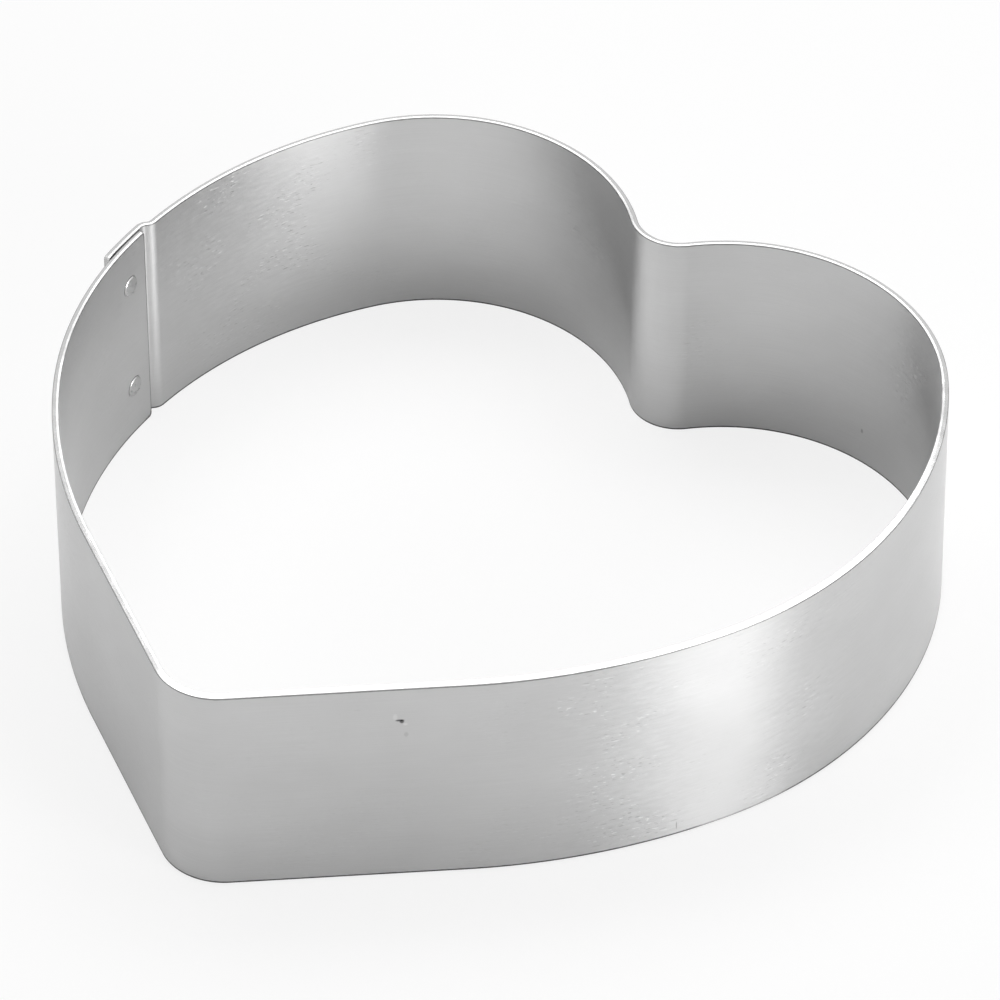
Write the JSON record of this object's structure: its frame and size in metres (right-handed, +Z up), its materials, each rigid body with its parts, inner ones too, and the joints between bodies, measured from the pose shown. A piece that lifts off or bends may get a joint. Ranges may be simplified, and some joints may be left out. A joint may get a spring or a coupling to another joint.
{
  "type": "cookie cutter",
  "caption": "Heart-shaped cutter ring: a tall metal strip bent on edge into a heart and closed by a riveted lap.",
  "frame": {"origin": "centre of the ring's bounding box, in the plane that its lower edge rests on", "axes": "+Z up along the strip's height, -Y towards the heart's tip, +Y towards its cleft, lap on the -X side"},
  "size_m": [0.1814, 0.1825, 0.05],
  "materials": {
    "band_metal": "satin, with fine rolled grain along the strip",
    "rivet_metal": "satin, pressed"
  },
  "bodies": {
    "root": {"band": "band_metal", "lower_rivet": "rivet_metal", "upper_rivet": "rivet_metal"}
  },
  "joints": []
}
